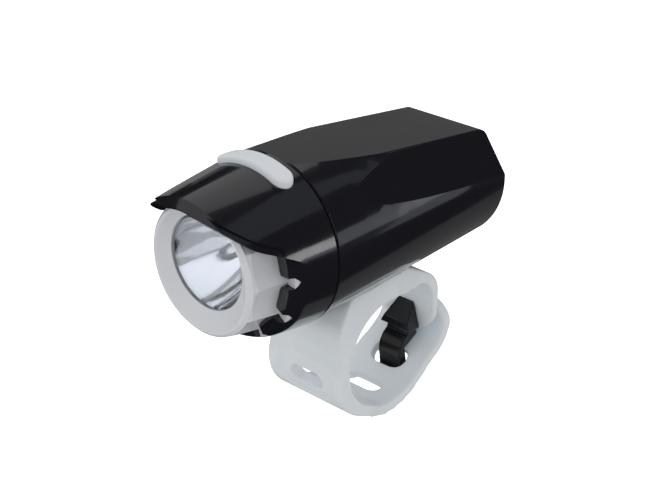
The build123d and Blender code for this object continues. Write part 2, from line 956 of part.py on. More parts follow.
def spring_path(place, start_station, rise_sign):
    """Coil about a cell's centre made of biarcs of a quarter turn each."""
    climb = spring_length - spring_wire - 2 * part_gap
    steps = 4 * spring_turns
    pitch_rate = climb / (2 * math.pi * spring_turns)

    def on_coil(turn):
        station = start_station + rise_sign * pitch_rate * turn
        return Vector(
            place[0] + spring_radius * math.cos(turn),
            crown_front_y + station,
            light_axis_height + place[1] + spring_radius * math.sin(turn),
        )

    def coil_heading(turn):
        return Vector(
            -spring_radius * math.sin(turn), rise_sign * pitch_rate, spring_radius * math.cos(turn)
        ).normalized()

    quarter = math.pi / 2
    arcs = []
    for step in range(steps):
        first, last = on_coil(step * quarter), on_coil((step + 1) * quarter)
        begin, end = coil_heading(step * quarter), coil_heading((step + 1) * quarter)
        chord = last - first
        both = begin + end
        along = both.dot(chord)
        spread = 4 - both.dot(both)
        arm = (-along + math.sqrt(along * along + spread * chord.dot(chord))) / spread
        middle = (first + begin * arm + last - end * arm) / 2
        arcs.append((first, begin, middle, last))
    return arcs, Plane(origin=on_coil(0), z_dir=coil_heading(0))


def make_springs(places, flips, front_face, rear_face):
    """Coil springs at the flat ends of the cells, each one unbroken wire."""
    with BuildPart() as springs:
        for place, flip in zip(places, flips):
            inset = spring_wire / 2 + part_gap
            start = rear_face - inset if flip > 0 else front_face + inset
            arcs, start_plane = spring_path(place, start, -flip)
            with BuildLine() as wire:
                for first, begin, middle, last in arcs:
                    half = TangentArc(first, middle, tangent=begin)
                    TangentArc(middle, last, tangent=half % 1)
            with BuildSketch(start_plane):
                Circle(spring_wire / 2)
            sweep(path=wire.line)
    save(springs, "contact_springs")
    climb = spring_length - spring_wire - 2 * part_gap
    print("spring gap", round(climb / spring_turns - spring_wire, 2), "mm")


# Strap


def heading(angle):
    """Unit direction in the side view, at an angle from +Y towards +Z."""
    turn = math.radians(angle)
    return Vector(math.cos(turn), math.sin(turn))


def front_corner():
    """Radius and side-view centre of the band's lower front corner, on its middle line."""
    mid_radius = bar_radius + strap_thickness / 2
    half_sweep = math.radians(front_arc_end - front_leave_angle) / 2
    corner_radius = mid_radius - front_slack / math.tan(half_sweep)
    leave = heading(front_leave_angle) * (mid_radius - corner_radius)
    return corner_radius, leave + heading(front_leave_angle + 90) * front_slack


def strap_centres():
    """Side-view centres of the belly arc and of the rear arc, and the end of the belly."""
    front_end = heading(front_arc_end) * (bar_radius + strap_thickness / 2)
    belly_start = front_end + heading(belly_start_angle) * strap_straight
    belly_centre = belly_start + heading(belly_start_angle + 90) * belly_radius
    flank_start = belly_centre + heading(flank_angle - 90) * belly_radius
    flank_end = flank_start + heading(flank_angle) * flank_length
    return belly_centre, flank_end + heading(flank_angle + 90) * rear_arc_radius, flank_start


def strap_run(shift):
    """One side line of the band: the inside hugs the bar, the outside has a fuller corner."""
    belly_centre, rear_centre, flank_start = strap_centres()
    corner_radius, corner_centre = front_corner()
    mid_radius = bar_radius + strap_thickness / 2
    hug_angle = front_leave_angle if shift > 0 else front_arc_end
    front = CenterArc((0, 0), mid_radius + shift, front_arc_start, hug_angle - front_arc_start)
    corner = front
    if shift > 0:
        corner = CenterArc(
            corner_centre,
            corner_radius + shift,
            front_leave_angle,
            front_arc_end - front_leave_angle,
        )
        Line(front @ 1, corner @ 0)
    belly = CenterArc(
        belly_centre, belly_radius + shift, belly_start_angle - 90, flank_angle - belly_start_angle
    )
    rear = CenterArc(rear_centre, rear_arc_radius + shift, flank_angle - 90, tab_angle - flank_angle)
    Line(corner @ 1, belly @ 0)
    Line(belly @ 1, rear @ 0)
    tab = Line(rear @ 1, rear @ 1 + heading(tab_angle) * tab_length)
    return front @ 0, tab @ 1


def fold_point():
    """Side-view place of the fold between the fixed band and the swinging end."""
    belly_centre = strap_centres()[0]
    return belly_centre + heading(fold_angle - 90) * belly_radius


def fold_rod(radius):
    """A round bar along the fold."""
    fold = fold_point()
    with BuildPart() as rod:
        with BuildSketch(loop_plane):
            with Locations((fold.X, fold.Y)):
                Circle(radius)
        extrude(amount=strap_width, both=True)
    return rod.part


def strap_band(keep):
    """The part of the band on one side of the fold."""
    fold = fold_point()
    toward = heading(fold_angle)
    with BuildPart() as band:
        with BuildSketch(loop_plane):
            with BuildLine():
                outer_start, outer_end = strap_run(strap_thickness / 2)
                inner_start, inner_end = strap_run(-strap_thickness / 2)
                Line(outer_start, inner_start)
                Line(outer_end, inner_end)
            make_face()
        extrude(amount=strap_width / 2, both=True)
        split(
            bisect_by=Plane(origin=(0, fold.X, fold.Y), z_dir=(0, toward.X, toward.Y)),
            keep=keep,
        )
    return band.part


def slot_block(centre, mid_radius, angle):
    """An obround hole through the band, with a shallow oval recess round it outside."""
    outward = heading(angle)
    place = centre + outward * mid_radius
    slot_plane = Plane(
        origin=(0, place.X, place.Y), x_dir=(1, 0, 0), z_dir=(0, outward.X, outward.Y)
    )
    with BuildPart() as cut:
        with BuildSketch(slot_plane):
            SlotOverall(slot_recess_length, slot_recess_width)
        extrude(amount=strap_thickness)
        with BuildSketch(loop_plane):
            with Locations((centre.X, centre.Y)):
                Circle(mid_radius + strap_thickness / 2 - slot_recess_depth)
        extrude(amount=strap_width, both=True, mode=Mode.SUBTRACT)
        with BuildSketch(slot_plane):
            SlotOverall(slot_length, slot_width)
        extrude(amount=2 * strap_thickness, both=True)
    return cut.part


def saddle_block():
    """Block between the bar and the housing, with the tongue that hangs behind the bar."""
    rear_face = tongue_centre_y + tongue_outer_radius
    inner_face = rear_face - tongue_thickness
    front_angle = front_leave_angle
    edge_angle = saddle_edge_angle
    outer_radius = bar_radius + strap_thickness
    with BuildPart() as block:
        with BuildSketch(loop_plane):
            with BuildLine():
                under = CenterArc((0, 0), bar_radius, edge_angle, front_angle - edge_angle)
                step = Line(under @ 0, (saddle_step_y, saddle_step_z))
                turn = ThreePointArc(
                    step @ 1,
                    (
                        saddle_step_y + (inner_face - saddle_step_y) * saddle_turn_share,
                        saddle_turn_z + (saddle_step_z - saddle_turn_z) * saddle_turn_share,
                    ),
                    (inner_face, saddle_turn_z),
                )
                inner = Line(turn @ 1, (inner_face, tongue_end_z + tongue_thickness / 2))
                tip = ThreePointArc(
                    inner @ 1,
                    ((inner_face + rear_face) / 2, tongue_end_z),
                    (rear_face, tongue_end_z + tongue_thickness / 2),
                )
                outer = Line(tip @ 1, (rear_face, tongue_centre_z))
                crest = CenterArc(
                    (tongue_centre_y, tongue_centre_z), tongue_outer_radius, 0, crest_angle
                )
                rise = saddle_top_height - (crest @ 1).Y
                run = rise * math.tan(math.radians(crest_angle))
                top = Polyline(
                    crest @ 1,
                    ((crest @ 1).X - run, saddle_top_height),
                    (-saddle_top_reach, saddle_top_height),
                )
                blend = heading(front_angle) * outer_radius
                blend = blend + heading(front_angle + 90) * front_slack / 2
                Spline(
                    top @ 1,
                    (-saddle_front_reach, saddle_front_height),
                    blend,
                    tangents=[heading(saddle_lean_angle), heading(front_angle + 90)],
                )
                Line(blend, under @ 1)
            make_face()
        extrude(amount=strap_width / 2, both=True)
        with BuildSketch(Plane.XY.offset(tongue_end_z - cut_overrun)):
            with BuildLine():
                Polyline(
                    (strap_width / 2, -body_radius),
                    (strap_width / 2, taper_start_y),
                    (tongue_width / 2, taper_end_y),
                    (tongue_width / 2, rear_face + cut_overrun),
                    (-tongue_width / 2, rear_face + cut_overrun),
                    (-tongue_width / 2, taper_end_y),
                    (-strap_width / 2, taper_start_y),
                    (-strap_width / 2, -body_radius),
                    close=True,
                )
            make_face()
        extrude(amount=light_axis_height, mode=Mode.INTERSECT)
        corner_x = tongue_width / 2 - tongue_corner_radius
        tip_plane = Plane(
            origin=(0, rear_face + cut_overrun, tongue_end_z), x_dir=(1, 0, 0), z_dir=(0, -1, 0)
        )
        with BuildSketch(tip_plane):
            with Locations((0, tongue_corner_radius / 2)):
                Rectangle(tongue_width + cut_overrun, tongue_corner_radius)
                Rectangle(2 * corner_x, tongue_corner_radius, mode=Mode.SUBTRACT)
            with Locations((corner_x, tongue_corner_radius), (-corner_x, tongue_corner_radius)):
                Circle(tongue_corner_radius + part_clearance, mode=Mode.SUBTRACT)
        extrude(amount=2 * cut_overrun, mode=Mode.SUBTRACT)
    return block.part


def make_strap_saddle():
    """Fixed part of the strap: saddle block, front band and tongue."""
    block = saddle_block()
    band = strap_band(Keep.BOTTOM)
    body = body_block(0.0, seam_station, body_end_station)
    rod = fold_rod(strap_thickness / 2)
    corner_radius, corner_centre = front_corner()
    slot = slot_block(corner_centre, corner_radius, front_slot_angle)
    with BuildPart() as saddle:
        add(block)
        add(band)
        add(rod)
        with BuildSketch(loop_plane.offset(-strap_width / 2)):
            Rectangle(2 * light_axis_height, 2 * light_axis_height)
        extrude(amount=strap_width, mode=Mode.INTERSECT)
        add(body, mode=Mode.SUBTRACT)
        add(slot, mode=Mode.SUBTRACT)
        for place_y in (saddle_screw_front_y, saddle_screw_rear_y):
            with BuildSketch(Plane.XY.offset(saddle_screw_seat_z)):
                with Locations((0, place_y)):
                    Circle(washer_radius + part_gap)
            extrude(amount=-saddle_screw_seat_z / 2, mode=Mode.SUBTRACT)
            with BuildSketch(Plane.XY.offset(saddle_screw_seat_z)):
                with Locations((0, place_y)):
                    Circle(saddle_screw_radius + part_gap)
            extrude(amount=saddle_screw_length, mode=Mode.SUBTRACT)
        stem_top = hook_stem_top
        with BuildSketch(loop_plane):
            with Locations((tongue_centre_y + tongue_outer_radius - tongue_thickness, stem_top)):
                Rectangle(
                    hook_stem_depth + part_gap,
                    hook_stem_height + 2 * part_gap,
                    align=(Align.MIN, Align.MAX),
                )
        extrude(amount=hook_stem_half_width + part_gap, both=True, mode=Mode.SUBTRACT)
    save(saddle, "strap_saddle")


def make_strap_end():
    """Swinging end of the strap, with its belly slot and the hole that the hook's peg fills."""
    belly_centre, rear_centre, flank_start = strap_centres()
    band = strap_band(Keep.TOP)
    rod = fold_rod(strap_thickness / 2 + part_clearance)
    slot = slot_block(belly_centre, belly_radius, belly_slot_angle - 90)
    fold = fold_point()
    hole_place = flank_start + heading(flank_angle) * hook_hole_run
    outward = heading(flank_angle - 90)
    far_y = rear_centre.X + rear_arc_radius + cut_overrun
    with BuildPart() as end:
        add(band)
        with BuildSketch(Plane.XY.offset(-light_axis_height)):
            with BuildLine():
                Polyline(
                    (strap_width / 2, -bar_radius),
                    (strap_width / 2, fold.X),
                    (strap_end_width / 2, end_taper_y),
                    (strap_end_width / 2, far_y),
                    (-strap_end_width / 2, far_y),
                    (-strap_end_width / 2, end_taper_y),
                    (-strap_width / 2, fold.X),
                    (-strap_width / 2, -bar_radius),
                    close=True,
                )
            make_face()
        extrude(amount=2 * light_axis_height, mode=Mode.INTERSECT)
        tab_face = end.faces().sort_by(Axis.Z)[-1]
        corners = tab_face.edges().filter_by(lambda edge: edge.length < 2 * strap_thickness)
        fillet(corners, tab_corner_radius)
        add(rod, mode=Mode.SUBTRACT)
        add(slot, mode=Mode.SUBTRACT)
        hole_plane = Plane(
            origin=(0, hole_place.X, hole_place.Y),
            x_dir=(1, 0, 0),
            z_dir=(0, outward.X, outward.Y),
        )
        with BuildSketch(hole_plane):
            SlotOverall(slot_length, hook_hole_width)
        extrude(amount=strap_thickness, both=True, mode=Mode.SUBTRACT)
        with BuildSketch(loop_plane):
            with Locations((fold.X, fold.Y)):
                Circle(hook_peg_outer + peg_clearance)
                Circle(hook_peg_inner - peg_clearance, mode=Mode.SUBTRACT)
        extrude(amount=hook_half_width + peg_clearance, both=True, mode=Mode.SUBTRACT)
    save(end, "strap_end")


def make_strap_hook():
    """Hard hook moulded into the tongue: a wedge above and a claw with its peg below."""
    fold = fold_point()
    inner_face = tongue_centre_y + tongue_outer_radius - tongue_thickness
    peg_front = fold + heading(hook_claw_angle) * hook_peg_inner
    peg_back = fold + heading(hook_back_angle) * hook_peg_outer
    wedge_top = hook_wedge_points[0]
    wedge_foot = hook_wedge_points[2]
    with BuildPart() as hook:
        with BuildSketch(loop_plane):
            with BuildLine():
                Polyline(
                    (inner_face, wedge_top[1]),
                    *hook_wedge_points[1:],
                    (inner_face, hook_wedge_points[-1][1]),
                    close=True,
                )
            make_face()
        extrude(amount=wedge_half_width, both=True)
        spread = wedge_half_width - wedge_top_half_width
        drop = wedge_top[1] - wedge_foot[1]
        for side in (1, -1):
            slope = Plane(
                origin=(side * wedge_top_half_width, inner_face, wedge_top[1]),
                z_dir=(side * drop, 0, spread),
            )
            split(bisect_by=slope, keep=Keep.BOTTOM)
        with BuildSketch(loop_plane):
            with BuildLine():
                neck = Polyline((inner_face, hook_neck_points[0][1]), *hook_neck_points)
                ThreePointArc(neck @ 1, hook_brow_point, (peg_front.X, peg_front.Y))
                inner_arc = CenterArc(
                    fold, hook_peg_inner, hook_peg_end_angle, hook_claw_angle - hook_peg_end_angle
                )
                outer_arc = CenterArc(
                    fold, hook_peg_outer, hook_peg_end_angle, hook_back_angle - hook_peg_end_angle
                )
                Line(inner_arc @ 0, outer_arc @ 0)
                Polyline((peg_back.X, peg_back.Y), *hook_back_points, neck @ 0)
            make_face()
        extrude(amount=hook_half_width, both=True)
        with BuildSketch(loop_plane):
            with Locations((inner_face, hook_stem_top - part_gap)):
                Rectangle(hook_stem_depth, hook_stem_height, align=(Align.MIN, Align.MAX))
        extrude(amount=hook_stem_half_width, both=True)
    save(hook, "strap_hook")


def make_saddle_screws():
    """Screws and washers that hold the saddle to the housing from inside the loop."""
    head_top = saddle_screw_seat_z - washer_thickness
    places = ((0, saddle_screw_front_y), (0, saddle_screw_rear_y))
    with BuildPart() as screws:
        with BuildSketch(Plane.XY.offset(head_top)):
            with Locations(*places):
                Circle(saddle_head_radius)
        extrude(amount=-saddle_head_height)
        fillet(screws.edges().group_by(Axis.Z)[0], saddle_head_height / 3)
        with BuildSketch(Plane.XY.offset(head_top)):
            with Locations(*places):
                Circle(saddle_screw_radius)
        extrude(amount=saddle_screw_length + washer_thickness - part_gap)
        with BuildSketch(Plane.XY.offset(head_top - saddle_head_height)):
            with Locations(*places):
                RegularPolygon(saddle_screw_radius, 6)
        extrude(amount=drive_depth, mode=Mode.SUBTRACT)
    save(screws, "saddle_screws")
    with BuildPart() as washers:
        with BuildSketch(Plane.XY.offset(head_top)):
            with Locations(*places):
                Circle(washer_radius)
                Circle(saddle_screw_radius + part_gap, mode=Mode.SUBTRACT)
        extrude(amount=washer_thickness)
    save(washers, "saddle_washers")


os.makedirs("parts", exist_ok=True)
make_rear_housing()
make_head_shell()
make_crown_lens()
make_reflector()
make_lamp()
make_lamp_carrier()
make_o_ring_seal()
make_small_screws()
make_boards()
make_switch()
make_power_button()
make_cradle()
make_strap_saddle()
make_strap_end()
make_strap_hook()
make_saddle_screws()
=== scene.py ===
import bmesh
import bpy
import json
import math
from mathutils import Matrix, Vector


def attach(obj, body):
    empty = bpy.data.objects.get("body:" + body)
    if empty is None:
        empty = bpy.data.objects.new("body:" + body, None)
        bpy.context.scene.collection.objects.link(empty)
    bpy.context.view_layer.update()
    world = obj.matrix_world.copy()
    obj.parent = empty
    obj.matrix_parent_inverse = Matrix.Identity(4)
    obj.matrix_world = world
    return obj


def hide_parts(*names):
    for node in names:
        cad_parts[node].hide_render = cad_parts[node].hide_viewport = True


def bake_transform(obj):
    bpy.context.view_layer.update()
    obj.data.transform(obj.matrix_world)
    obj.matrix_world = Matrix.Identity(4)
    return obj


# Bicycle headlight with a silicone strap mount, in metres.
# The origin is the handlebar's centre, the beam leaves towards -Y, and +Z is up.

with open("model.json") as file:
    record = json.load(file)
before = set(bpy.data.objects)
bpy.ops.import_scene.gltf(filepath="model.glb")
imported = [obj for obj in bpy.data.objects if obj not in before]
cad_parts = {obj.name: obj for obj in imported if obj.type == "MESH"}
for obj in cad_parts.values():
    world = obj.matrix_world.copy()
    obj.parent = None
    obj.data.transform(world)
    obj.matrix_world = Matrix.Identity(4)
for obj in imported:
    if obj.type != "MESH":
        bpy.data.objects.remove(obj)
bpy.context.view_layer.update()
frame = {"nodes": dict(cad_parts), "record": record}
NODES = frame["nodes"]

# Places shared with the solids
WINDOW_CENTRE_Z = 0.0347
CROWN_FRONT_Y = -0.0458
FOLD = Vector((0.0, -0.00199414, -0.01456817))
FOLD_ANGLE = math.radians(-17.5)
STRAP_WIDTH = 0.022
STRAP_THICKNESS = 0.0026
SPRING_BODY = "head"

# Crown: the window's edge, the frosted rim in front of the ribs, and how clear each zone is
WINDOW_RADIUS = 0.0100
WINDOW_EDGE_INSIDE = 0.0001
WINDOW_EDGE_OUTSIDE = 0.0002
RIM_END_STATION = 0.0022
RIM_FULL_STATION = 0.0018
RIM_CLEARNESS = 0.14
RIB_CLEARNESS = 0.3
RIM_ROUGHNESS = 0.35
CLEAR_ROUGHNESS = 0.03

# Sleeve that carries the band over the fold
SLEEVE_BACK = 0.0032
SLEEVE_FRONT = 0.0024
SLEEVE_SPARE = 0.00002

# Remeshing and smoothing of the moulded pieces
STRAP_VOXEL = 0.00034
HOOK_VOXEL = 0.00016
BUTTON_VOXEL = 0.00014
BUTTON_SMOOTHING = 5
STRAP_SMOOTHING = 8
HOOK_SMOOTHING = 7

# Fine moulded texture
RELIEF_DEPTH = 0.0001
FINE_SHARE = 0.6
BROAD_DETAIL = 4.0
FINE_DETAIL = 2.0
NOISE_LOW = 0.3
NOISE_HIGH = 0.7

# Camera
CAMERA_PLACE = Vector((0.1810, -0.2090, 0.1587))
CAMERA_AZIMUTH = math.radians(41.823)
CAMERA_ELEVATION = math.radians(26.393)
CAMERA_ROLL = math.radians(0.728)
CAMERA_LENS = 75.56
SENSOR_WIDTH = 36.0

# Stage and light: each box has a name, azimuth, elevation, distance, size, brightness and colour
FLOOR_Z = -0.15
FLOOR_HALF = 4.0
FLOOR_COLOR = (0.95, 0.95, 0.95, 1.0)
FLOOR_ROUGHNESS = 0.9
FLOOR_GLOW = 0.9
WORLD_STRENGTH = 0.60
BOX_LAYERS = (1.0, 0.72, 0.44)
OBJECT_CENTRE = Vector((0.0, -0.01, 0.03))
SOFTBOXES = (
    ("back_top_box", 127.0, 50.0, 0.80, (0.60, 0.50), 1.6),
    ("front_box", -118.0, 24.0, 0.90, (0.70, 0.55), 1.5),
    ("right_strip", 46.0, -1.0, 0.80, (0.62, 0.17), 2.0, (0.84, 0.90, 1.0)),
    ("rear_strip", 56.0, -7.0, 0.80, (0.24, 0.20), 1.4, (0.84, 0.90, 1.0)),
    ("right_patch", 28.0, 2.0, 0.80, (0.11, 0.14), 9.0, (1.0, 0.96, 0.95)),
    ("low_box", 86.0, -43.0, 0.20, (0.16, 0.16), 0.35),
    ("back_glow", 127.0, 10.0, 0.90, (0.70, 0.24), 0.44),
    ("left_glow", 146.0, -3.0, 0.90, (0.50, 0.36), 0.8),
    ("right_glow", 49.0, 50.0, 0.90, (0.60, 0.40), 0.6, (0.84, 0.90, 1.0)),
    ("lamp_fill", -48.0, 26.0, 0.90, (0.34, 0.34), 1.6),
)
MATTE_BOXES = (
    ("strap_key", -98.0, 4.0, 0.90, (0.50, 0.50), 2.0, (0.95, 0.98, 1.0)),
)


# Node groups shared by several materials


def new_group(name, inputs, outputs):
    """An empty node group with named float sockets."""
    group = bpy.data.node_groups.new(name, "ShaderNodeTree")
    for label, default in inputs:
        socket = group.interface.new_socket(label, in_out="INPUT", socket_type="NodeSocketFloat")
        socket.default_value = default
    for label in outputs:
        group.interface.new_socket(label, in_out="OUTPUT", socket_type="NodeSocketFloat")
    start = group.nodes.new("NodeGroupInput")
    end = group.nodes.new("NodeGroupOutput")
    return group, start, end


def surface_group():
    """Fine moulded texture: a varying roughness and a height for bumps."""
    group, start, end = new_group(
        "moulded_surface",
        (("Fine scale", 2500.0), ("Broad scale", 90.0), ("Low", 0.1), ("High", 0.2)),
        ("Roughness", "Height"),
    )
    nodes, links = group.nodes, group.links
    where = nodes.new("ShaderNodeTexCoord")
    broad = nodes.new("ShaderNodeTexNoise")
    fine = nodes.new("ShaderNodeTexNoise")
    spread = nodes.new("ShaderNodeMapRange")
    mix = nodes.new("ShaderNodeMath")
    mix.operation = "MULTIPLY_ADD"
    mix.inputs[1].default_value = FINE_SHARE
    broad.inputs["Detail"].default_value = BROAD_DETAIL
    fine.inputs["Detail"].default_value = FINE_DETAIL
    spread.inputs["From Min"].default_value = NOISE_LOW
    spread.inputs["From Max"].default_value = NOISE_HIGH
    links.new(where.outputs["Object"], broad.inputs["Vector"])
    links.new(where.outputs["Object"], fine.inputs["Vector"])
    links.new(start.outputs["Broad scale"], broad.inputs["Scale"])
    links.new(start.outputs["Fine scale"], fine.inputs["Scale"])
    links.new(broad.outputs["Fac"], spread.inputs["Value"])
    links.new(start.outputs["Low"], spread.inputs["To Min"])
    links.new(start.outputs["High"], spread.inputs["To Max"])
    links.new(spread.outputs["Result"], end.inputs["Roughness"])
    links.new(fine.outputs["Fac"], mix.inputs[0])
    links.new(broad.outputs["Fac"], mix.inputs[2])
    links.new(mix.outputs["Value"], end.inputs["Height"])
    return group


def axis_group():
    """Distance from the window's centre line, and distance behind the crown's front."""
    group, start, end = new_group("axis_distance", (), ("Radius", "Station"))
    nodes, links = group.nodes, group.links
    where = nodes.new("ShaderNodeTexCoord")
    parts = nodes.new("ShaderNodeSeparateXYZ")
    height = nodes.new("ShaderNodeMath")
    height.operation = "SUBTRACT"
    height.inputs[1].default_value = WINDOW_CENTRE_Z
    join = nodes.new("ShaderNodeCombineXYZ")
    size = nodes.new("ShaderNodeVectorMath")
    size.operation = "LENGTH"
    behind = nodes.new("ShaderNodeMath")
    behind.operation = "SUBTRACT"
    behind.inputs[1].default_value = CROWN_FRONT_Y
    links.new(where.outputs["Object"], parts.inputs["Vector"])
    links.new(parts.outputs["Z"], height.inputs[0])
    links.new(parts.outputs["X"], join.inputs["X"])
    links.new(height.outputs["Value"], join.inputs["Z"])
    links.new(join.outputs["Vector"], size.inputs[0])
    links.new(parts.outputs["Y"], behind.inputs[0])
    links.new(size.outputs["Value"], end.inputs["Radius"])
    links.new(behind.outputs["Value"], end.inputs["Station"])
    return group


SURFACE = surface_group()
AXIS = axis_group()


# Materials


def new_material(name, color, settings, low, high, fine=2500.0, broad=90.0, bump=0.02, tint=0.0):
    """A moulded material: Principled shader with varying roughness, fine bumps and a slight tint."""
    material = bpy.data.materials.new(name)
    material.use_nodes = True
    nodes, links = material.node_tree.nodes, material.node_tree.links
    shader = nodes["Principled BSDF"]
    shader.inputs["Base Color"].default_value = (*color, 1.0)
    for socket, value in settings.items():
        shader.inputs[socket].default_value = value
    surface = nodes.new("ShaderNodeGroup")
    surface.node_tree = SURFACE
    surface.inputs["Fine scale"].default_value = fine
    surface.inputs["Broad scale"].default_value = broad
    surface.inputs["Low"].default_value = low
    surface.inputs["High"].default_value = high
    links.new(surface.outputs["Roughness"], shader.inputs["Roughness"])
    relief = nodes.new("ShaderNodeBump")
    relief.inputs["Strength"].default_value = bump
    relief.inputs["Distance"].default_value = RELIEF_DEPTH
    links.new(surface.outputs["Height"], relief.inputs["Height"])
    links.new(relief.outputs["Normal"], shader.inputs["Normal"])
    if tint > 0.0:
        shade = nodes.new("ShaderNodeMix")
        shade.data_type = "RGBA"
        shade.inputs["A"].default_value = (*color, 1.0)
        shade.inputs["B"].default_value = (*[part * (1.0 - tint) for part in color], 1.0)
        links.new(surface.outputs["Height"], shade.inputs["Factor"])
        links.new(shade.outputs["Result"], shader.inputs["Base Color"])
    return material


def crown_material():
    """Clear plastic window, a frosted rim in front of the ribs, and cloudy ribs."""
    material = new_material(
        "crown_clear", (0.86, 0.88, 0.91),
        {"IOR": 1.49, "Transmission Weight": 1.0, "Coat Weight": 0.3}, 0.02, 0.05, bump=0.005,
    )
    nodes, links = material.node_tree.nodes, material.node_tree.links
    shader = nodes["Principled BSDF"]
    place = nodes.new("ShaderNodeGroup")
    place.node_tree = AXIS
    from_window = nodes.new("ShaderNodeMapRange")
    from_window.inputs["From Min"].default_value = WINDOW_RADIUS - WINDOW_EDGE_INSIDE
    from_window.inputs["From Max"].default_value = WINDOW_RADIUS + WINDOW_EDGE_OUTSIDE
    to_front = nodes.new("ShaderNodeMapRange")
    to_front.inputs["From Min"].default_value = RIM_END_STATION
    to_front.inputs["From Max"].default_value = RIM_FULL_STATION
    both = nodes.new("ShaderNodeMath")
    both.operation = "MULTIPLY"
    links.new(place.outputs["Radius"], from_window.inputs["Value"])
    links.new(place.outputs["Station"], to_front.inputs["Value"])
    links.new(from_window.outputs["Result"], both.inputs[0])
    links.new(to_front.outputs["Result"], both.inputs[1])
    outside = nodes.new("ShaderNodeMapRange")
    outside.inputs["To Min"].default_value = 1.0
    outside.inputs["To Max"].default_value = RIB_CLEARNESS
    links.new(from_window.outputs["Result"], outside.inputs["Value"])
    clear = nodes.new("ShaderNodeMath")
    clear.operation = "MULTIPLY_ADD"
    clear.inputs[1].default_value = RIM_CLEARNESS - RIB_CLEARNESS
    links.new(both.outputs["Value"], clear.inputs[0])
    links.new(outside.outputs["Result"], clear.inputs[2])
    links.new(clear.outputs["Value"], shader.inputs["Transmission Weight"])
    rough = nodes.new("ShaderNodeMath")
    rough.operation = "MULTIPLY_ADD"
    rough.inputs[1].default_value = RIM_ROUGHNESS
    rough.inputs[2].default_value = CLEAR_ROUGHNESS
    links.new(both.outputs["Value"], rough.inputs[0])
    links.new(rough.outputs["Value"], shader.inputs["Roughness"])
    return material


def make_materials():
    """Every material of the light, by the record's slot name."""
    return {
        "black_shell": new_material(
            "shell_gloss_black", (0.0125, 0.0125, 0.0165),
            {"Specular IOR Level": 0.5, "Coat Weight": 0.6, "Coat Roughness": 0.04},
            0.10, 0.20, fine=5200.0, bump=0.008,
        ),
        "black_inner": new_material("inner_black", (0.02, 0.02, 0.022), {}, 0.4, 0.6, bump=0.05),
        "clear_plastic": crown_material(),
        "bright_cup": new_material(
            "cup_bright", (0.86, 0.87, 0.89), {"Metallic": 1.0}, 0.05, 0.12, bump=0.004,
        ),
        "board_metal": new_material("board_metal", (0.7, 0.71, 0.72), {"Metallic": 1.0}, 0.3, 0.45),
        "lamp_white": new_material("lamp_yellow", (0.85, 0.78, 0.35), {}, 0.4, 0.5),
        "seal_rubber": new_material("seal_rubber", (0.012, 0.012, 0.012), {}, 0.45, 0.6, bump=0.05),
        "steel": new_material(
            "steel_satin", (0.6, 0.6, 0.62), {"Metallic": 1.0, "Anisotropic": 0.4}, 0.2, 0.34,
        ),
        "green_board": new_material("board_green", (0.02, 0.16, 0.06), {}, 0.3, 0.45, tint=0.4),
        "chip_black": new_material("chip_black", (0.015, 0.015, 0.016), {}, 0.5, 0.65, bump=0.05),
        "button_rubber": new_material(
            "button_rubber", (0.84, 0.87, 0.91),
            {
                "Subsurface Weight": 0.2, "Subsurface Scale": 0.002, "Sheen Weight": 0.1,
                "Subsurface Radius": (0.8, 0.9, 1.0),
            },
            0.42, 0.55, fine=6000.0, bump=0.04, tint=0.06,
        ),
        "cradle_plastic": new_material("cradle_black", (0.03, 0.03, 0.033), {}, 0.45, 0.6, bump=0.05),
        "cell_jacket": new_material(
            "cell_jacket", (0.16, 0.19, 0.24), {"Metallic": 0.6}, 0.25, 0.4, tint=0.2,
        ),
        "brass_pins": new_material("pin_brass", (0.78, 0.6, 0.28), {"Metallic": 1.0}, 0.2, 0.35),
        "strap_silicone": new_material(
            "strap_silicone", (0.90, 0.94, 0.985),
            {
                "Subsurface Weight": 0.5, "Subsurface Scale": 0.003, "Transmission Weight": 0.12,
                "Subsurface Radius": (0.8, 0.9, 1.0), "IOR": 1.41, "Specular IOR Level": 0.45,
            },
            0.32, 0.48, fine=3600.0, broad=140.0, bump=0.03, tint=0.05,
        ),
        "hook_plastic": new_material(
            "hook_black", (0.008, 0.008, 0.009), {"Specular IOR Level": 0.5}, 0.22, 0.34,
            fine=4200.0, bump=0.03,
        ),
    }


# Moulded pieces made over the solids


def copy_of(node, name):
    """A new object with its own copy of a solid's mesh."""
    piece = bpy.data.objects.new(name, NODES[node].data.copy())
    bpy.context.scene.collection.objects.link(piece)
    return piece


def add_sleeve(piece):
    """Adds the short stretch of band that runs over the fold to a piece's mesh."""
    along = Vector((0.0, math.cos(FOLD_ANGLE), math.sin(FOLD_ANGLE)))
    outward = Vector((0.0, math.sin(FOLD_ANGLE), -math.cos(FOLD_ANGLE)))
    half = STRAP_THICKNESS / 2 + SLEEVE_SPARE
    mesh = bmesh.new()
    mesh.from_mesh(piece.data)
    outline = (
        (-SLEEVE_BACK, -half), (SLEEVE_FRONT, -half), (SLEEVE_FRONT, half), (-SLEEVE_BACK, half),
    )
    corners = []
    for side in (-STRAP_WIDTH / 2, STRAP_WIDTH / 2):
        for reach, lift in outline:
            place = FOLD + along * reach + outward * lift
            corners.append(mesh.verts.new((side, place.y, place.z)))
    near, far = corners[:4], corners[4:]
    faces = [mesh.faces.new(near), mesh.faces.new(far)]
    for index in range(4):
        after = (index + 1) % 4
        faces.append(mesh.faces.new((near[index], near[after], far[after], far[index])))
    bmesh.ops.recalc_face_normals(mesh, faces=faces)
    mesh.to_mesh(piece.data)
    mesh.free()


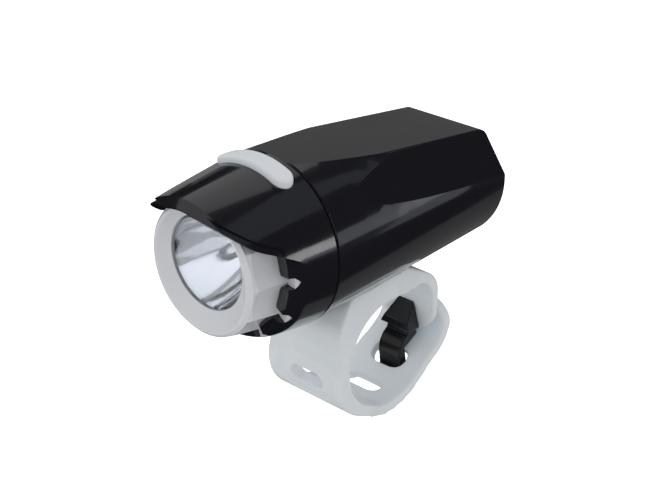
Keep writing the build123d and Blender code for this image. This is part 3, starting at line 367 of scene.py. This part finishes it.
def remesh(piece, voxel, rounds, factor=0.5):
    """Fuses a piece's mesh into one skin and rounds its edges."""
    bpy.ops.object.select_all(action="DESELECT")
    bpy.context.view_layer.objects.active = piece
    piece.select_set(True)
    fuse = piece.modifiers.new("fuse", "REMESH")
    fuse.mode = "VOXEL"
    fuse.voxel_size = voxel
    bpy.ops.object.modifier_apply(modifier=fuse.name)
    soften = piece.modifiers.new("soften", "SMOOTH")
    soften.iterations = rounds
    soften.factor = factor
    bpy.ops.object.modifier_apply(modifier=soften.name)
    for face in piece.data.polygons:
        face.use_smooth = True
    piece.select_set(False)


def make_strap(materials):
    """Silicone strap: the saddle with its tongue, and the end that folds away from the bar."""
    saddle = copy_of("strap_saddle", "strap_saddle_soft")
    remesh(saddle, STRAP_VOXEL, STRAP_SMOOTHING)
    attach(saddle, "housing")
    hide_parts("strap_saddle")
    end = copy_of("strap_end", "strap_end_soft")
    add_sleeve(end)
    remesh(end, STRAP_VOXEL, STRAP_SMOOTHING)
    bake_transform(end)
    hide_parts("strap_end")
    for piece in (saddle, end):
        dress(piece, materials["strap_silicone"])


def make_button(materials):
    """Silicone button with softened edges."""
    button = copy_of("power_button", "power_button_soft")
    remesh(button, BUTTON_VOXEL, BUTTON_SMOOTHING)
    dress(button, materials["button_rubber"])
    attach(button, "button")
    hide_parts("power_button")


def make_springs(materials):
    """Coil springs of bright wire at the cells' flat ends."""
    springs = copy_of("contact_springs", "contact_springs_wound")
    for face in springs.data.polygons:
        face.use_smooth = True
    dress(springs, materials["steel"])
    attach(springs, SPRING_BODY)
    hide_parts("contact_springs")


def make_hook(materials):
    """Hard black hook with rounded edges."""
    hook = copy_of("strap_hook", "strap_hook_soft")
    remesh(hook, HOOK_VOXEL, HOOK_SMOOTHING)
    dress(hook, materials["hook_plastic"])
    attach(hook, "housing")
    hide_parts("strap_hook")


def dress(piece, material):
    """Gives a piece one material in place of what it has."""
    if not piece.material_slots:
        piece.data.materials.append(material)
    for slot in piece.material_slots:
        slot.material = material


def dress_nodes(materials):
    """Gives every solid that stays in view its material by the record's slots."""
    for entry in frame["record"]["subparts"]:
        dress(NODES[entry["node"]], materials[entry["material_slot"]])


# Stage, light and camera


def make_floor():
    """Large pale floor that stays white in the picture."""
    mesh = bpy.data.meshes.new("floor")
    corners = [
        (-FLOOR_HALF, -FLOOR_HALF, FLOOR_Z), (FLOOR_HALF, -FLOOR_HALF, FLOOR_Z),
        (FLOOR_HALF, FLOOR_HALF, FLOOR_Z), (-FLOOR_HALF, FLOOR_HALF, FLOOR_Z),
    ]
    mesh.from_pydata(corners, [], [(0, 1, 2, 3)])
    floor = bpy.data.objects.new("floor", mesh)
    bpy.context.scene.collection.objects.link(floor)
    material = bpy.data.materials.new("floor_pale")
    material.use_nodes = True
    shader = material.node_tree.nodes["Principled BSDF"]
    shader.inputs["Base Color"].default_value = FLOOR_COLOR
    shader.inputs["Roughness"].default_value = FLOOR_ROUGHNESS
    shader.inputs["Specular IOR Level"].default_value = 0.0
    shader.inputs["Emission Color"].default_value = (1.0, 1.0, 1.0, 1.0)
    shader.inputs["Emission Strength"].default_value = FLOOR_GLOW
    mesh.materials.append(material)
    floor.visible_glossy = False
    floor.visible_diffuse = False


def add_softbox(name, azimuth, elevation, distance, size, radiance, color=(1.0, 1.0, 1.0), seen=True):
    """A soft light in layers that fade it towards its edge; unseen ones leave no reflection."""
    turn, rise = math.radians(azimuth), math.radians(elevation)
    away = Vector((math.cos(turn) * math.cos(rise), math.sin(turn) * math.cos(rise), math.sin(rise)))
    for number, share in enumerate(BOX_LAYERS, start=1):
        light = bpy.data.lights.new(f"{name}_{number}", "AREA")
        light.shape = "ELLIPSE" if number == len(BOX_LAYERS) else "RECTANGLE"
        light.size, light.size_y = size[0] * share, size[1] * share
        light.energy = radiance / len(BOX_LAYERS) * math.pi * light.size * light.size_y
        light.color = color
        lamp = bpy.data.objects.new(f"{name}_{number}", light)
        lamp.location = OBJECT_CENTRE + away * distance
        lamp.rotation_euler = (-away).to_track_quat("-Z", "Y").to_euler()
        lamp.visible_camera = False
        lamp.visible_glossy = seen
        bpy.context.scene.collection.objects.link(lamp)


def make_light():
    """Pale surroundings and soft boxes that draw the long highlights on the shell."""
    world = bpy.data.worlds.new("studio")
    world.use_nodes = True
    world.node_tree.nodes["Background"].inputs["Color"].default_value = (1.0, 1.0, 1.0, 1.0)
    world.node_tree.nodes["Background"].inputs["Strength"].default_value = WORLD_STRENGTH
    world.cycles_visibility.glossy = False
    bpy.context.scene.world = world
    for box in SOFTBOXES:
        add_softbox(*box)
    for box in MATTE_BOXES:
        add_softbox(*box, seen=False)


def make_camera():
    """Camera at the photograph's own place, turn and roll."""
    right = Vector((math.cos(CAMERA_AZIMUTH), math.sin(CAMERA_AZIMUTH), 0.0))
    up = Vector((
        -math.sin(CAMERA_AZIMUTH) * math.sin(CAMERA_ELEVATION),
        math.cos(CAMERA_AZIMUTH) * math.sin(CAMERA_ELEVATION),
        math.cos(CAMERA_ELEVATION),
    ))
    across = right * math.cos(CAMERA_ROLL) + up * math.sin(CAMERA_ROLL)
    above = up * math.cos(CAMERA_ROLL) - right * math.sin(CAMERA_ROLL)
    back = across.cross(above)
    turn = Matrix((across, above, back)).transposed().to_4x4()
    camera_data = bpy.data.cameras.new("photo_camera")
    camera_data.lens = CAMERA_LENS
    camera_data.sensor_width = SENSOR_WIDTH
    camera_data.clip_start = 0.01
    camera = bpy.data.objects.new("photo_camera", camera_data)
    camera.matrix_world = Matrix.Translation(CAMERA_PLACE) @ turn
    bpy.context.scene.collection.objects.link(camera)
    bpy.context.scene.camera = camera


MATERIALS = make_materials()
dress_nodes(MATERIALS)
make_strap(MATERIALS)
make_hook(MATERIALS)
make_button(MATERIALS)
make_springs(MATERIALS)
make_floor()
make_light()
make_camera()
bpy.context.scene.view_settings.view_transform = "Standard"
